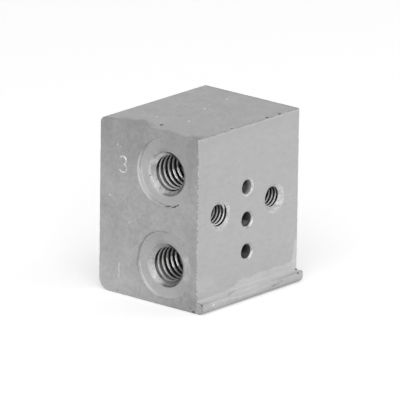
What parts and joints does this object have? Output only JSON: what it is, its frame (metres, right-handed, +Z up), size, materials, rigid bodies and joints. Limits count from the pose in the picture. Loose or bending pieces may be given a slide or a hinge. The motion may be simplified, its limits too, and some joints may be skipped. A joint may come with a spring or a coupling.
{
  "type": "pneumatic valve subbase",
  "caption": "Small rectangular aluminium subbase that carries a miniature solenoid valve on one face, with threaded line ports on an end and its back.",
  "frame": {"origin": "middle of the underside of the block, lip included", "axes": "+Z up, from the underside to the plain top; X runs along the extruded bar, with the line ports opening on the -X end; the valve face and its lip look along -Y"},
  "size_m": [0.0186, 0.0164, 0.0215],
  "materials": {
    "aluminium": "sawn and milled, satin, unanodised"
  },
  "bodies": {
    "root": {"subbase_block": "aluminium"}
  },
  "joints": []
}
